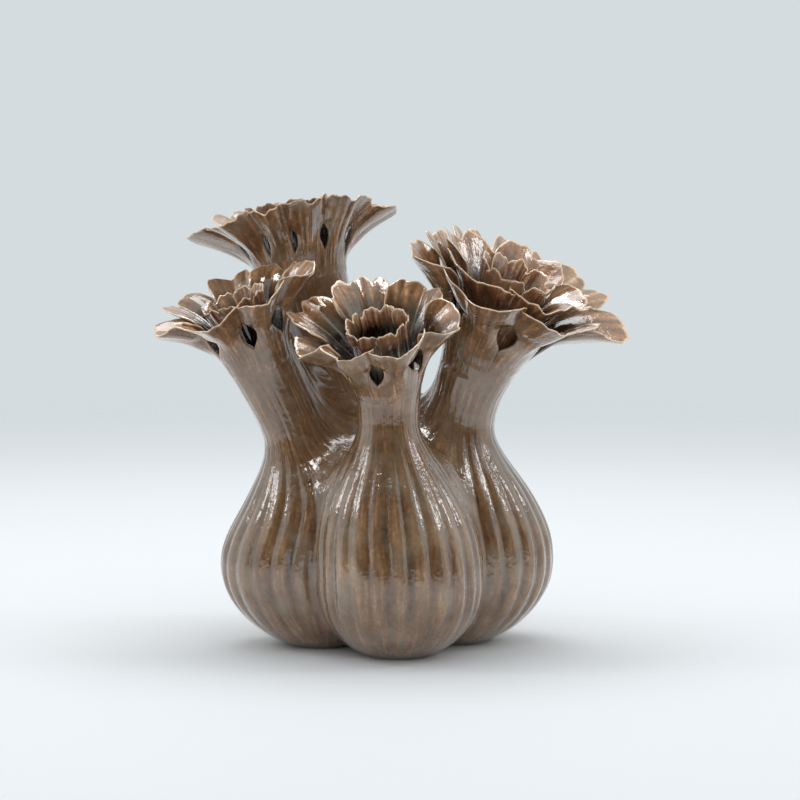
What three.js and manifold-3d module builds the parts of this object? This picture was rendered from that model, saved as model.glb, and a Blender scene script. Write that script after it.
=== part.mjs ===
// Flower-mouthed cluster vase in glazed stoneware.
// Four fluted gourds are cut flat where they meet and luted together round a square. Each
// gourd is thrown hollow in one piece with its neck, and its mouth carries a flower of
// separate petals, pressed from slabs and luted to the rim tier by tier.
// Millimetres, +Z up. The vase stands on z = 0, with -Y towards the front.
import * as THREE from "three";
import { mergeVertices } from "three/addons/utils/BufferGeometryUtils.js";
import Module from "manifold-3d";

const wasm = await Module();
wasm.setup();

const degrees = THREE.MathUtils.degToRad;
const { lerp, smoothstep } = THREE.MathUtils;

// The cluster
const CLUSTER_CENTRE = new THREE.Vector3(-2.5, -6.5, 0);
const CLUSTER_RADIUS = 57; // from the middle of the cluster to the middle of each belly
const CLUSTER_TURN = 8.2; // degrees, anticlockwise seen from above
const LUTE_GAP = 0.3; // the slip joint between two luted pieces
const SEAM_LEAN = 0.0012; // lean of a seam for each millimetre that one gourd is the taller

// The gourds
const WALL = 5; // thrown wall
const BELLY_HEIGHT = 51; // where the belly is widest
const FOOT_RADIUS = 20;
const UNDERSIDE_FULLNESS = 2.4; // 2 is an ellipse, and above 2 the underside is squarer
const SHOULDER_FULLNESS = 1.5; // above 1, the shoulder stays wide for longer
const FLUTES = 24;
const FLUTE_DEPTH = 1.5; // half the height of a ridge above its furrow, at the belly
const FLUTE_DEPTH_AT_RIM = 0.3; // as a share of the depth at the belly
const FLUTES_GROW_TO = 0.3; // full depth from here, as a share of the waist's height
const FLUTES_FADE_FROM = 0.5; // shallower from here, as a share of the waist's height
const NECK_FLARE = 2.4; // above 1, the neck stays narrow for longer before it opens
const LEVEL_HEIGHT = 90; // rings lie level below this, and follow the neck's lean above
const NECK_FREE_AT = 0.7; // from the waist to the mouth, where a neck has left its neighbours
const FOOT_RECESS_RADIUS = 13;
const FOOT_RECESS_DEPTH = 2;
const FILLET_LOW = 8; // how softly two gourds run together at the belly
const FILLET_HIGH = 50; // and at the saddle between two necks
const FILLET_HEIGHTS = [80, 135]; // where the one turns into the other
const OVERRUN = 4; // how far a skin runs past its seam before it is cut there

// The petals. Widths are shares of the space that each petal has round the rim.
const ROOT_WIDTH = 0.84;
const TIP_WIDTH = 0.8; // as a share of the petal's full width
const SCALLOP_DEPTH = 0.05; // as a share of the petal's length, like the next
const TIP_ROUNDING = 0.12;
const FOLD_CURVE = 1.5; // 1 folds a petal to a sharp crease, and 2 to a round trough
const FOLD_SINK = 0.4; // share of the fold by which a petal's middle lies below the ring
// Where along a petal it changes, as shares of its length
const ROOT_SPREADS = [0.2, 0.55];
const TIP_NARROWS = [0.7, 1];
const SIDES_LIFT = [0, 0.3];
const FOLD_GROWS = [0.1, 0.7];
const ROOT_THICKNESS = 3;
const EDGE_THICKNESS = 1.8;
const LAP_CLEARANCE = 0.7; // between a petal and the neighbour that it laps
const SEAT_CLEARANCE = 0.4; // from the outer tier to the edge of its rim
const TIER_CLEARANCE = 2.6; // between two tiers at their roots

// Sampling of the surfaces
const RING_POINTS = 2 * FLUTES;
const FOOT_RINGS = 5; // up to the belly's widest height
const SHOULDER_RINGS = 12; // from there to the mouth
const BORE_POINTS = 16;
const BORE_RINGS = 8;
const AXIS_STEPS = 80;

// One tier of petals, in order round the flower. Each petal is [heading, reach, rise]: its
// direction in degrees, with 0 facing +X and -90 the front, and how far out from the middle of
// the rim and how far up its tip lies.
const tier = (name, petals, more = {}) => ({
  name,
  petals,
  bend: 0.62, // share of the rise at which the petals bend outwards
  flared: true, // leaves the rim in line with the flare of the neck, and not upright
  width: 1.14, // of the space that each petal has
  fold: 5, // how far a petal's sides stand above its middle
  lobes: 2, // scallops along the tip
  across: 6,
  along: 4,
  ...more,
});

const evenRing = (count, start, reach, rise) =>
  Array.from({ length: count }, (_, i) => [start + (360 * i) / count, reach, rise]);

const cupTier = (petals) =>
  tier("inner", petals, { bend: 0.5, flared: false, fold: 0, width: 1.06, across: 4, along: 3 });

// A gourd's axis runs from its foot, tucked in under the cluster, through the middle of its
// belly to the shoulder, the waist and the mouth, which are placed from that middle.
const GOURDS = [
  {
    name: "front",
    turn: -90,
    belly: 52.6,
    footTuck: 8,
    shoulder: [-5, 7, 115],
    waist: [-7.5, 8.5, 150],
    waistRadius: 19.2,
    mouth: [-8, 7, 180],
    facing: [-0.2, -0.5],
    mouthRadius: 24,
    rimWidth: 9,
    tiers: [
      tier("outer", [[0, 49, 34], [60, 52, 38], [102, 60, 42], [148, 62, 40], [182, 50, 31],
        [228, 32, 33], [290, 33, 34]]),
      cupTier(evenRing(5, 18, 19, 38)),
    ],
  },
  {
    name: "left",
    turn: 180,
    belly: 52.5,
    footTuck: 12.5,
    shoulder: [5.5, 0, 95],
    waist: [-6.5, 0, 138],
    waistRadius: 18.8,
    mouth: [-29, -2, 193],
    facing: [-0.42, -0.22],
    mouthRadius: 23.4,
    rimWidth: 9,
    tiers: [
      tier("outer", [[0, 53, 40], [55, 52, 40], [97, 57, 43], [133, 60, 44], [178, 54, 39],
        [248, 37, 37], [308, 36, 38]]),
      cupTier(evenRing(5, 60, 20, 38)),
    ],
  },
  {
    name: "right",
    turn: 0,
    belly: 52.8,
    footTuck: 12.5,
    shoulder: [-4.5, 0, 98],
    waist: [-7.5, 0, 144],
    waistRadius: 21.5,
    mouth: [7.5, -4, 197],
    facing: [0.45, -0.3],
    mouthRadius: 29,
    rimWidth: 14.2,
    tiers: [
      tier("outer", [[10, 83, 40], [50, 89, 48], [88, 84, 49], [115, 76, 50], [145, 66, 48],
        [178, 68, 44], [242, 52, 42], [315, 50, 43]]),
      tier("middle", [[10, 48, 50], [70, 56, 56], [140, 54, 54], [222, 42, 50], [305, 38, 49]],
        { bend: 0.5, flared: false, fold: 2 }),
      cupTier(evenRing(5, 30, 24, 53)),
    ],
  },
  {
    name: "back",
    turn: 90,
    belly: 54,
    footTuck: 12.5,
    shoulder: [-3, -7, 130],
    waist: [-43, -2, 222],
    waistRadius: 28.8,
    mouth: [-51, -1, 247],
    facing: [-0.15, 0.06],
    mouthRadius: 31,
    rimWidth: 9,
    tiers: [
      tier("outer", [[5, 66, 31], [48, 68, 40], [88, 62, 49], [130, 66, 48], [180, 68, 31],
        [222, 57, 36], [252, 50, 39], [284, 46, 41], [325, 50, 41]], { bend: 0.54 }),
      cupTier(evenRing(5, 40, 32, 42)),
    ],
  },
];

// Turns a closed three.js geometry into a solid for cutting.
function solidOf(geometry) {
  const bare = new THREE.BufferGeometry();
  bare.setAttribute("position", geometry.getAttribute("position"));
  bare.setIndex(geometry.index);
  const merged = mergeVertices(bare, 1e-4);
  return new wasm.Manifold(
    new wasm.Mesh({
      numProp: 3,
      vertProperties: new Float32Array(merged.attributes.position.array),
      triVerts: new Uint32Array(merged.index.array),
    }),
  );
}

// Turns a cut solid back into a three.js geometry.
function geometryOf(solid) {
  const mesh = solid.getMesh();
  const geometry = new THREE.BufferGeometry();
  geometry.setAttribute("position", new THREE.BufferAttribute(mesh.vertProperties, 3));
  geometry.setIndex(new THREE.BufferAttribute(mesh.triVerts, 1));
  geometry.computeVertexNormals();
  return geometry;
}

// The closed skin of rings of points, each ring as long as the next, with a fan at each end.
function loft(rings) {
  const count = rings[0].length;
  const points = rings.flat();
  const faces = [];
  for (let ring = 0; ring < rings.length - 1; ring++)
    for (let i = 0; i < count; i++) {
      const a = ring * count + i;
      const b = ring * count + ((i + 1) % count);
      faces.push(a, b, b + count, a, b + count, a + count);
    }
  const cap = (start, outwards) => {
    const middle = new THREE.Vector3();
    for (let i = 0; i < count; i++) middle.addScaledVector(points[start + i], 1 / count);
    points.push(middle);
    for (let i = 0; i < count; i++) {
      const edge = [start + i, start + ((i + 1) % count)];
      if (!outwards) edge.reverse();
      faces.push(points.length - 1, ...edge);
    }
  };
  cap(0, false);
  cap((rings.length - 1) * count, true);
  return new THREE.BufferGeometry().setFromPoints(points).setIndex(faces);
}

// The smaller of two distances, rounded off where they are within softness of each other.
function softMin(a, b, softness) {
  const near = Math.max(softness - Math.abs(a - b), 0) / softness;
  return Math.min(a, b) - (near * near * softness) / 4;
}

// The gourd's axis as a run of points, rising all the way and square to the mouth at its end.
function traceAxis(gourd) {
  const foot = gourd.centre.clone().addScaledVector(gourd.outward, -gourd.footTuck);
  const belly = gourd.centre.clone().setZ(BELLY_HEIGHT);
  const past = gourd.mouth.clone().addScaledVector(gourd.way, gourd.mouthRadius);
  const route = [foot, belly, gourd.shoulder, gourd.waist, gourd.mouth, past];
  return new THREE.CatmullRomCurve3(route).getPoints(AXIS_STEPS);
}

// Where the axis is at a height.
function axisAt(gourd, z) {
  const axis = gourd.axis;
  let i = 1;
  while (i < axis.length - 1 && axis[i].z < z) i++;
  const share = (z - axis[i - 1].z) / (axis[i].z - axis[i - 1].z);
  return axis[i - 1].clone().lerp(axis[i], share);
}

// The thrown profile: a round belly on a narrow foot, a waist, and a flare to the mouth.
function profile(gourd, z) {
  if (z < BELLY_HEIGHT) {
    const below = (BELLY_HEIGHT - z) / BELLY_HEIGHT;
    const narrowing = 1 - (FOOT_RADIUS / gourd.belly) ** 2;
    return gourd.belly * Math.sqrt(1 - narrowing * below ** UNDERSIDE_FULLNESS);
  }
  if (z < gourd.waist.z) {
    const rise = (z - BELLY_HEIGHT) / (gourd.waist.z - BELLY_HEIGHT);
    return lerp(gourd.waistRadius, gourd.belly, smoothstep(1 - rise ** SHOULDER_FULLNESS, 0, 1));
  }
  const flare = Math.min((z - gourd.waist.z) / (gourd.mouth.z - gourd.waist.z), 1);
  return lerp(gourd.waistRadius, gourd.mouthRadius, flare ** NECK_FLARE);
}

// The flutes: deep round the belly, dying out towards the foot and up the neck.
function flute(gourd, z, angle) {
  const share = z / gourd.waist.z;
  const fading = lerp(1, FLUTE_DEPTH_AT_RIM, smoothstep(share, FLUTES_FADE_FROM, 1));
  return FLUTE_DEPTH * smoothstep(share, 0, FLUTES_GROW_TO) * fading * Math.cos(FLUTES * angle);
}

// How far a point lies outside a gourd's own skin.
function outside(gourd, point) {
  const axis = axisAt(gourd, point.z);
  const away = [point.x - axis.x, point.y - axis.y];
  const angle = Math.atan2(away[1], away[0]);
  return Math.hypot(...away) - profile(gourd, point.z) - flute(gourd, point.z, angle);
}

// A frame across a direction, turned so that angle 0 faces +X.
function frameAcross(way) {
  const side = new THREE.Vector3(1, 0, 0).addScaledVector(way, -way.x).normalize();
  return { side, over: way.clone().cross(side) };
}

function pointRound(centre, frame, angle, radius) {
  return centre.clone()
    .addScaledVector(frame.side, Math.cos(angle) * radius)
    .addScaledVector(frame.over, Math.sin(angle) * radius);
}

// The seam between two neighbours: midway at belly height, leaning away from the taller.
function seamBetween(gourd, other) {
  const across = other.centre.clone().sub(gourd.centre).normalize();
  const middle = gourd.centre.clone().lerp(other.centre, 0.5).setZ(BELLY_HEIGHT);
  const lean = SEAM_LEAN * (gourd.waist.z - other.waist.z);
  const normal = across.setZ(-lean).normalize();
  return new THREE.Plane().setFromNormalAndCoplanarPoint(normal, middle);
}

// The skin's radius along one spoke of a ring. Where a neighbour is near, the two skins run
// together softly, and past the seam the spoke just ends.
function skinRadius(gourd, centre, frame, angle, ownRadius, ownShare) {
  const others = GOURDS.filter((g) => g !== gourd && g.mouth.z > centre.z);
  const gap = (radius) => {
    const point = pointRound(centre, frame, angle, radius);
    let distance = lerp(outside(gourd, point), radius - ownRadius, ownShare);
    const softness = lerp(FILLET_LOW, FILLET_HIGH, smoothstep(point.z, ...FILLET_HEIGHTS));
    for (const other of others) distance = softMin(distance, outside(other, point), softness);
    return distance;
  };
  const pastSeam = (radius) => {
    const point = pointRound(centre, frame, angle, radius);
    return gourd.seams.some((seam) => seam.distanceToPoint(point) > OVERRUN);
  };
  const stride = 2;
  const halvings = 12;
  let inner = ownRadius / 2;
  let outer = inner;
  while (gap(outer) < 0 && !pastSeam(outer)) {
    inner = outer;
    outer += stride;
  }
  if (gap(outer) < 0) return outer;
  for (let i = 0; i < halvings; i++) {
    const middle = (inner + outer) / 2;
    if (gap(middle) < 0) inner = middle;
    else outer = middle;
  }
  return outer;
}

// The heights of the skin's rings, closer together where the foot turns in.
function ringHeights(gourd) {
  const heights = [];
  for (let i = 0; i < FOOT_RINGS; i++)
    heights.push(BELLY_HEIGHT * (1 - Math.cos((Math.PI * i) / (2 * FOOT_RINGS))));
  for (let i = 0; i <= SHOULDER_RINGS; i++)
    heights.push(lerp(BELLY_HEIGHT, gourd.mouth.z, i / SHOULDER_RINGS));
  return heights;
}

// The middle and the frame of the ring at a height, upright at the foot and square to the
// mouth at the top. ownShare is how far the neck has grown free of its neighbours.
function station(gourd, z) {
  const step = 2;
  const along = axisAt(gourd, Math.min(z + step, gourd.mouth.z))
    .sub(axisAt(gourd, Math.max(z - step, 0))).normalize();
  const way = new THREE.Vector3(0, 0, 1)
    .lerp(along, smoothstep(z, LEVEL_HEIGHT, gourd.waist.z))
    .lerp(gourd.way, smoothstep(z, gourd.waist.z, gourd.mouth.z));
  return {
    z,
    centre: axisAt(gourd, z),
    frame: frameAcross(way.normalize()),
    ownShare: smoothstep(z, gourd.waist.z, lerp(gourd.waist.z, gourd.mouth.z, NECK_FREE_AT)),
  };
}

function makeSkin(gourd) {
  const rings = [];
  for (const z of ringHeights(gourd)) {
    const at = station(gourd, z);
    const ring = [];
    for (let j = 0; j < RING_POINTS; j++) {
      const angle = (2 * Math.PI * j) / RING_POINTS;
      const own = profile(gourd, at.z) + flute(gourd, at.z, angle);
      const radius = skinRadius(gourd, at.centre, at.frame, angle, own, at.ownShare);
      ring.push(pointRound(at.centre, at.frame, angle, radius));
    }
    rings.push(ring);
  }
  return loft(rings);
}

// The hollow: the same profile less the wall, from above the floor of the foot to the mouth.
function makeHollow(gourd) {
  const floor = WALL + FOOT_RECESS_DEPTH;
  const rings = [];
  for (let i = 0; i <= BORE_RINGS; i++) {
    const at = station(gourd, lerp(floor, gourd.mouth.z, i / BORE_RINGS));
    const wall = lerp(WALL, gourd.rimWidth, smoothstep(at.z, gourd.waist.z, gourd.mouth.z));
    const radius = profile(gourd, at.z) - wall - FLUTE_DEPTH * (1 - at.ownShare);
    const ring = [];
    for (let j = 0; j < BORE_POINTS; j++)
      ring.push(pointRound(at.centre, at.frame, (2 * Math.PI * j) / BORE_POINTS, radius));
    rings.push(ring);
  }
  const past = 2;
  rings.push(rings.at(-1).map((point) => point.clone().addScaledVector(gourd.way, past)));
  return loft(rings);
}

// What lies beyond a seam, as a large block. inset moves the block's face in from the seam.
function beyond(seam, inset) {
  const size = 600;
  const block = new THREE.BoxGeometry(size, size, size);
  const turn = new THREE.Quaternion().setFromUnitVectors(new THREE.Vector3(0, 0, 1), seam.normal);
  const face = seam.coplanarPoint(new THREE.Vector3());
  block.applyQuaternion(turn);
  block.translate(...face.addScaledVector(seam.normal, size / 2 - inset).toArray());
  return solidOf(block);
}

function makeGourd(gourd) {
  let body = solidOf(makeSkin(gourd));
  let hollow = solidOf(makeHollow(gourd));
  for (const seam of gourd.seams) {
    body = body.subtract(beyond(seam, LUTE_GAP / 2));
    hollow = hollow.subtract(beyond(seam, WALL));
  }
  const recess = new THREE.CylinderGeometry(
    FOOT_RECESS_RADIUS, FOOT_RECESS_RADIUS, 2 * FOOT_RECESS_DEPTH, BORE_POINTS);
  recess.rotateX(Math.PI / 2).translate(...gourd.axis[0].toArray());
  return geometryOf(body.subtract(hollow).subtract(solidOf(recess)));
}

// One of a tier's petal sizes at any angle round the flower, easing from petal to petal.
// size is 1 for the reach and 2 for the rise.
function sizeAt(made, size, angle) {
  const petals = [...made.petals, made.petals[0].with(0, made.petals[0][0] + 360)];
  const first = petals[0][0];
  const turned = first + THREE.MathUtils.euclideanModulo(THREE.MathUtils.radToDeg(angle) - first, 360);
  const next = petals.findIndex((petal) => petal[0] > turned);
  const [before, after] = [petals[next - 1], petals[next]];
  return lerp(before[size], after[size], smoothstep(turned, before[0], after[0]));
}

// The surface that a tier's petals follow, as a point for an angle and a share of the length.
function carrier(gourd, made, rootRadius) {
  const frame = frameAcross(gourd.way);
  // How far the neck opens at its rim for each millimetre of height. Where it narrows there
  // instead, a flared tier stands upright and the tiers inside it lean in.
  const neckSlope = (NECK_FLARE * (gourd.mouthRadius - gourd.waistRadius))
    / (gourd.mouth.z - gourd.waist.z);
  const slope = made.flared ? Math.max(neckSlope, 0) : Math.min(neckSlope, 0);
  return (angle, share) => {
    const reach = sizeAt(made, 1, angle);
    const rise = sizeAt(made, 2, angle);
    const bendHeight = made.bend * rise;
    const bendRadius = rootRadius + slope * bendHeight;
    const [a, b, c] = [(1 - share) ** 2, 2 * share * (1 - share), share ** 2];
    const radius = a * rootRadius + b * bendRadius + c * reach;
    const height = a * LUTE_GAP + b * bendHeight + c * rise;
    return pointRound(gourd.mouth, frame, angle, radius).addScaledVector(gourd.way, height);
  };
}

// The carrier's normal, on the side that faces the middle of the flower.
function carrierNormal(surface, angle, share) {
  const small = 1e-3;
  const along = surface(angle, share + small).sub(surface(angle, share - small));
  const round = surface(angle + small, share).sub(surface(angle - small, share));
  return round.cross(along).normalize().negate();
}

// One petal: a slab on the carrier, narrow at its root, scalloped at its tip, and laid with
// one edge over its neighbour and the other edge under.
function makePetal(gourd, made, rootRadius, index) {
  const surface = carrier(gourd, made, rootRadius);
  // A petal's space ends half way to each neighbour's heading.
  const count = made.petals.length;
  const own = made.petals[index][0];
  const before = index > 0 ? made.petals[index - 1][0] : made.petals[count - 1][0] - 360;
  const after = index < count - 1 ? made.petals[index + 1][0] : made.petals[0][0] + 360;
  const heading = degrees((before + 2 * own + after) / 4);
  const space = degrees((after - before) / 4);
  // Where two petals lap, the side of one lies over the other's face by this share of its fold.
  const overFold = 1 - (2 / made.width - 1) ** FOLD_CURVE;
  const faces = { upper: [], under: [] };
  for (let i = 0; i <= made.along; i++) {
    const v = i / made.along;
    const half = space * lerp(ROOT_WIDTH, made.width, smoothstep(v, ...ROOT_SPREADS))
      * lerp(1, TIP_WIDTH, smoothstep(v, ...TIP_NARROWS));
    const thickness = lerp(ROOT_THICKNESS, EDGE_THICKNESS, v);
    const fold = made.fold * smoothstep(v, ...FOLD_GROWS);
    const lap = ((ROOT_THICKNESS + LAP_CLEARANCE + fold * overFold) * made.width) / 2;
    const settle = smoothstep(v, ...SIDES_LIFT);
    for (let j = 0; j <= made.across; j++) {
      const u = (2 * j) / made.across - 1;
      const scallop = SCALLOP_DEPTH * Math.abs(Math.sin((made.lobes * Math.PI * u) / 2));
      const share = v * (1 + (scallop - TIP_ROUNDING * u * u) * v);
      const angle = heading + u * half;
      const point = surface(angle, share);
      const normal = carrierNormal(surface, angle, Math.max(share, 0.01));
      // The root stands square on its rim.
      if (i === 0) normal.projectOnPlane(gourd.way).normalize();
      const raised = lap * u + fold * (Math.abs(u) ** FOLD_CURVE - FOLD_SINK);
      point.addScaledVector(normal, settle * raised);
      faces.upper.push(point.clone().addScaledVector(normal, thickness / 2));
      faces.under.push(point.clone().addScaledVector(normal, -thickness / 2));
    }
  }
  return slab(faces, made.across, made.along);
}

// Closes two matching sheets of points into a slab.
function slab({ upper, under }, across, along) {
  const points = [...upper, ...under];
  const row = across + 1;
  const faces = [];
  const quad = (a, b, c, d) => faces.push(a, c, b, a, d, c);
  for (let i = 0; i < along; i++)
    for (let j = 0; j < across; j++) {
      const a = i * row + j;
      quad(a, a + 1, a + row + 1, a + row);
      const b = a + upper.length;
      quad(b, b + row, b + row + 1, b + 1);
    }
  const rim = [];
  for (let j = 0; j < across; j++) rim.push(j);
  for (let i = 0; i < along; i++) rim.push(i * row + across);
  for (let j = across; j > 0; j--) rim.push(along * row + j);
  for (let i = along; i > 0; i--) rim.push(i * row);
  rim.forEach((a, i) => {
    const b = rim[(i + 1) % rim.length];
    quad(a, a + upper.length, b + upper.length, b);
  });
  return new THREE.BufferGeometry().setFromPoints(points).setIndex(faces);
}

const glaze = new THREE.MeshStandardMaterial({ color: "#7d6048", roughness: 0.12, metalness: 0 });

for (const gourd of GOURDS) {
  const turn = degrees(gourd.turn + CLUSTER_TURN);
  gourd.outward = new THREE.Vector3(Math.cos(turn), Math.sin(turn), 0);
  gourd.centre = CLUSTER_CENTRE.clone().addScaledVector(gourd.outward, CLUSTER_RADIUS);
  gourd.way = new THREE.Vector3(...gourd.facing, 1).normalize();
  for (const place of ["shoulder", "waist", "mouth"])
    gourd[place] = new THREE.Vector3(...gourd[place]).add(gourd.centre);
  gourd.axis = traceAxis(gourd);
}
for (const gourd of GOURDS)
  gourd.seams = GOURDS.filter((other) => other !== gourd).map((other) => seamBetween(gourd, other));

const vase = new THREE.Group();
function addPiece(name, geometry) {
  const piece = new THREE.Mesh(geometry, glaze);
  piece.name = name;
  vase.add(piece);
}

for (const gourd of GOURDS) {
  addPiece(`gourd_${gourd.name}`, makeGourd(gourd));
  gourd.tiers.forEach((made, place) => {
    // The outer tier sits at the rim's outer edge, and each further tier inside the last.
    const seat = gourd.mouthRadius - SEAT_CLEARANCE
      - ROOT_THICKNESS / 2 - place * (ROOT_THICKNESS + TIER_CLEARANCE);
    for (let i = 0; i < made.petals.length; i++)
      addPiece(`${gourd.name}_${made.name}_petal_${i + 1}`, makePetal(gourd, made, seat, i));
  });
}

export default vase;
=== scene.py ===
import math
from dataclasses import dataclass
from functools import lru_cache
from types import SimpleNamespace

import bpy
import numpy as np
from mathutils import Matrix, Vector


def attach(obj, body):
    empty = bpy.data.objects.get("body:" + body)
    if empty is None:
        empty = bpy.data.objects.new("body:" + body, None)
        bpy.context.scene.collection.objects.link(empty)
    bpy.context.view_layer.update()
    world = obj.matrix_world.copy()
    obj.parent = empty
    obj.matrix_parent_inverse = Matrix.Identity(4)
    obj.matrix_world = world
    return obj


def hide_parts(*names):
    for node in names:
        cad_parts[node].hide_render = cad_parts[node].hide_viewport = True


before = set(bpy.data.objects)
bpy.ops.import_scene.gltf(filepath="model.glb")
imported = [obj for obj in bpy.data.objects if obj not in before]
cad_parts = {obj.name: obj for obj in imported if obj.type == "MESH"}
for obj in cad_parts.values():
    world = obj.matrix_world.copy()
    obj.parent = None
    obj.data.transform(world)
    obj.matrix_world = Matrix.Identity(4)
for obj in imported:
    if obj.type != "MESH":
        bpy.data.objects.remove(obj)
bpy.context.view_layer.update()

MM = 0.001
UP = np.array([0.0, 0.0, 1.0])
FAR = 1e3  # further than anything on the vase, in millimetres
TINY = 1e-6

# The sizes below are in millimetres and say where the clay is, as the frame's pieces do.
CLUSTER_CENTRE = np.array([-2.5, -6.5, 0.0])
CLUSTER_RADIUS = 57.0
CLUSTER_TURN = 8.2  # degrees
SEAM_LEAN = 0.0012  # how far a seam leans for each millimetre between the heights of two waists
WALL = 5.0
BELLY_HEIGHT = 51.0
FOOT_RADIUS = 20.0
FOOT_RECESS_RADIUS = 13.0
FOOT_RECESS_DEPTH = 2.0
UNDERSIDE_FULLNESS = 2.4
SHOULDER_FULLNESS = 1.5
NECK_FLARE = 2.4
LEVEL_HEIGHT = 90.0  # the rings of a gourd are level up to here, and lean with its neck above
AXIS_STEP = 2.0
NECK_FREE_AT = 0.7  # of the way from waist to mouth, where a neck stands clear of its neighbours
FLUTES = 24
FLUTE_DEPTH = 1.5
ROOT_WIDTH = 0.84
ROOT_THICKNESS = 3.0
EDGE_THICKNESS = 1.8
SEAT_CLEARANCE = 0.4
TIER_CLEARANCE = 2.6

# Where two gourds run together, the clay fills the corner between them.
FILLET_LOW = 8.0
FILLET_HIGH = 50.0
FILLET_HEIGHTS = (80.0, 135.0)
FILLET_MARGIN = 4.0
SEAM_OVERLAP = 3.0  # how far each skin runs on past the seam, under its neighbour
SEAM_SINK = 0.2  # how much it sinks there for each millimetre

# The underside, given as rings from the recess to the ring that the pot stands on: radius and height
FOOT_RINGS = (
    (FOOT_RECESS_RADIUS, FOOT_RECESS_DEPTH),
    (FOOT_RECESS_RADIUS + 0.4, 0.4),
    (FOOT_RECESS_RADIUS + 1.2, 0.0),
    (FOOT_RADIUS - 2.5, 0.0),
)
# The rounded rim: how far in from the skin, or out from the bore, and how far up
RIM_FROM_SKIN = ((0.5, 0.2), (1.5, 0.3))
RIM_FROM_BORE = ((1.5, 0.3), (0.4, 0.0), (0.0, -1.2))

# The flutes were pressed in by hand, so their ridges are round and their grooves sharper. They
# and the lumps come and go over shares of the height of the waist.
RIDGE_HEIGHT = 0.8  # of the flutes' depth
GROOVE_SHARPNESS = 0.94
RIDGE_LEVEL = 1.2
FLUTES_ON_NECK = 0.12  # of their depth on the belly
FLUTES_START = (0.0, 0.3)
FLUTES_FADE = (0.45, 0.95)
LUMPS_START = (0.1, 0.5)
SMOOTH_RIM = 2.0  # the relief ends this far below the rim
SMOOTH_ROOTS = 18.0  # and starts to die away this far below it, just below the petals' roots

# Each kind of unevenness is some waves round a pot that drift as they climb. length is the height
# in which they drift by up to a radian, and size is how strong they are. Those on a petal are
# finer. The angle round its flower counts ROUND times over, and the way from its rim to its tip
# is taken as UP millimetres.
FLUTE_STRAY = SimpleNamespace(seed=0, waves=(1, 2, 3, 5), length=45, size=0.05)
FLUTE_CHANGE = SimpleNamespace(seed=1, waves=(3, 5, 7), length=60, size=0.6)
THROWN_LUMPS = SimpleNamespace(seed=2, waves=(2, 3, 5), length=30, size=0.8)
PETAL_LUMPS = SimpleNamespace(seed=0, waves=(2, 3, 5), length=12, size=0.9)
PETAL_PLEATS = SimpleNamespace(seed=50, waves=(3, 4, 6), length=12, size=1)
PETAL_LUMPS_ROUND = 5
PETAL_LUMPS_UP = 60
PLEATS_ROUND = 14
PLEATS_UP = 12

# An outer petal's root is smeared down the outside of its neck.
ROOT_RUN = 14.0
SMEAR_PROUD = 0.35  # how far the smeared clay stands off the neck
SMEAR_SINK = 1.3  # how far its end is worked in
SMEAR_SUNK = (0.35, 1.0)

# A petal's outline, as shares of its length and of half its width. Where a pair holds a smallest
# and a largest size, each petal draws its own.
LOBE_COUNTS = (2, 2, 2, 3)  # most petals have two lobes at the tip, and some have three
LOBE_OFFSET = (-0.12, 0.12)
LOBE_LENGTH = 0.1
LOBE_DIP = 0.03
LOBE_ROUNDNESS = 0.7
RAGGED_EDGE = ((0.014, 11), (0.01, 19))  # how far the edge strays, and how often
FREE_CORNER_CUT = 0.17  # how far a corner is cut back, and how squarely
FREE_CORNER_SQUARENESS = 4
JOINED_CORNER_CUT = 0.03
JOINED_CORNER_SQUARENESS = 6
SIDE_SWELLING = 0.035  # how far the sides swell in and out, and how often
SIDE_SWELLINGS = 3.5
JOINED_WIDTH = 1.04
SLIT_WIDTH = (0.3, 0.55)
SLIT_AT_BACK = 0.2  # of a slit's width at the front
SLIT_FROM = 0.2
SLIT_LENGTH = 0.44
FREE_TIP = 0.93
JOINED_TIP = 0.97
PARTING = (-0.2, 0.4)  # from the back of a flower, where petals part, to its front
PARTING_SPREAD = 0.9
ANY_PHASE = (0, 6.3)

# How far a petal stands off the bell of its flower, in millimetres
LAP = 2.6  # over the neighbour
LAP_AT_ROOT = 0.7
LAP_JOINED = 0.9
FREE_FOLD = 0.4  # of the depth of a fold between joined petals
FOLD_LEVEL = 0.4
FOLD_SHARPNESS = 1.5
FURROW_DEPTH = 2.2
FURROW_JOINED = 0.3
FURROW_WIDTH = 0.16
LOBE_DOME = 1.2
LOBE_LEVEL = 0.6
PLEAT_HEIGHT = 0.45
RUFFLES = 2.2
RUFFLE_TURN = 1.5  # radians from one side's ruffle to the other's
RUFFLE_REACH = 3
CURL_SIZE = (0.5, 1.3)
CURL_SHARPNESS = 1.5
EDGE_SQUARENESS = 24
TIP_SQUARENESS = 30

# Stretches of a petal over which something comes in or goes. 0 is at the rim, 1 at the petal's
# tip, and less than 0 is on its root.
SETTLED = (0.0, 0.3)
LAPPED = (0.35, 0.75)
FOLDED = (0.15, 0.85)
FURROWED = (0.0, 0.5)
LUMPY = (0.1, 0.5)
DOMED = (0.6, 1.0)
PLEATED = (-0.4, 0.2)
RUFFLED = (0.35, 0.8)
CURLED = (0.55, 1.15)
SWELLING = (0.3, 0.6)
OUTER_WIDENS = (0.45, 0.7)
INNER_WIDENS = (0.15, 0.55)
TAPERED = (0.6, 1.0)
THINNED = (0.0, 0.6)

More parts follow.
